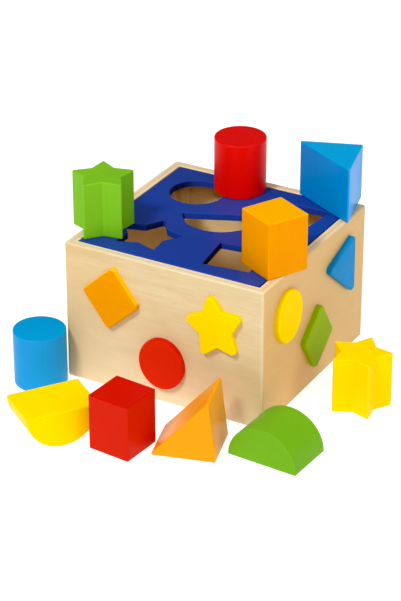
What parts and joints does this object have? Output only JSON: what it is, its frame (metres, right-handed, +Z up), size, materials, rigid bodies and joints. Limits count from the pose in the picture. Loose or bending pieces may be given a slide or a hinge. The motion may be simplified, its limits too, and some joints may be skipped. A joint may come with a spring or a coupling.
{
  "type": "shape sorter",
  "caption": "Square wooden box with a lift-out lid panel cut with shaped holes, painted shapes on its walls, and loose painted blocks that drop through the holes.",
  "frame": {"origin": "centre of the box's underside, on the table", "axes": "+Z up, -Y out of the front wall, +X out of the right wall"},
  "size_m": [0.2315, 0.2507, 0.1355],
  "materials": {
    "plain_wood": "clear satin lacquer",
    "royal_blue_paint": "satin paint",
    "red_paint": "gloss paint",
    "orange_paint": "gloss paint",
    "yellow_paint": "gloss paint",
    "green_paint": "gloss paint",
    "blue_paint": "gloss paint",
    "light_blue_paint": "gloss paint",
    "orange_plaque_paint": "satin paint",
    "red_plaque_paint": "satin paint",
    "yellow_plaque_paint": "satin paint",
    "green_plaque_paint": "satin paint",
    "blue_plaque_paint": "satin paint"
  },
  "bodies": {
    "box": {"front_wall": "plain_wood", "right_wall": "plain_wood", "back_wall": "plain_wood", "left_wall": "plain_wood", "base_panel": "plain_wood", "front_left_post": "plain_wood", "front_right_post": "plain_wood", "back_left_post": "plain_wood", "back_right_post": "plain_wood", "orange_square_front": "orange_plaque_paint", "red_disc_front": "red_plaque_paint", "yellow_star_front": "yellow_plaque_paint", "yellow_disc_right": "yellow_plaque_paint", "green_square_right": "green_plaque_paint", "blue_triangle_right": "blue_plaque_paint", "orange_square_back": "orange_plaque_paint", "red_disc_back": "red_plaque_paint", "yellow_star_back": "yellow_plaque_paint", "yellow_disc_left": "yellow_plaque_paint", "green_square_left": "green_plaque_paint", "blue_triangle_left": "blue_plaque_paint"},
    "lid": {"lid_panel": "royal_blue_paint"},
    "green_star": {"green_star_block": "green_paint"},
    "red_cylinder": {"red_cylinder_block": "red_paint"},
    "orange_square": {"orange_square_block": "orange_paint"},
    "blue_triangle": {"blue_triangle_block": "blue_paint"},
    "blue_cylinder": {"blue_cylinder_block": "light_blue_paint"},
    "yellow_half_round": {"yellow_half_round_block": "yellow_paint"},
    "red_square": {"red_square_block": "red_paint"},
    "orange_triangle": {"orange_triangle_block": "orange_paint"},
    "green_half_round": {"green_half_round_block": "green_paint"},
    "yellow_star": {"yellow_star_block": "yellow_paint"}
  },
  "joints": [
    {"name": "lid_lift", "type": "slide", "parent": "box", "child": "lid", "axis": [0, 0, 1], "range_m": [0, 0.06]},
    {"name": "green_star_lift", "type": "slide", "parent": "lid", "child": "green_star", "axis": [0, 0, 1], "range_m": [0, 0.05]},
    {"name": "red_cylinder_lift", "type": "slide", "parent": "lid", "child": "red_cylinder", "axis": [0, 0, 1], "range_m": [0, 0.05]},
    {"name": "orange_square_lift", "type": "slide", "parent": "lid", "child": "orange_square", "axis": [0, 0, 1], "range_m": [0, 0.05]},
    {"name": "blue_triangle_lift", "type": "slide", "parent": "lid", "child": "blue_triangle", "axis": [0, 0, 1], "range_m": [0, 0.05]},
    {"name": "blue_cylinder_lift", "type": "slide", "parent": "box", "child": "blue_cylinder", "axis": [0, 0, 1], "range_m": [0, 0.15]},
    {"name": "yellow_half_round_lift", "type": "slide", "parent": "box", "child": "yellow_half_round", "axis": [0, 0, 1], "range_m": [0, 0.15]},
    {"name": "red_square_lift", "type": "slide", "parent": "box", "child": "red_square", "axis": [0, 0, 1], "range_m": [0, 0.15]},
    {"name": "orange_triangle_lift", "type": "slide", "parent": "box", "child": "orange_triangle", "axis": [0, 0, 1], "range_m": [0, 0.15]},
    {"name": "green_half_round_lift", "type": "slide", "parent": "box", "child": "green_half_round", "axis": [0, 0, 1], "range_m": [0, 0.15]},
    {"name": "yellow_star_lift", "type": "slide", "parent": "box", "child": "yellow_star", "axis": [0, 0, 1], "range_m": [0, 0.15]}
  ]
}
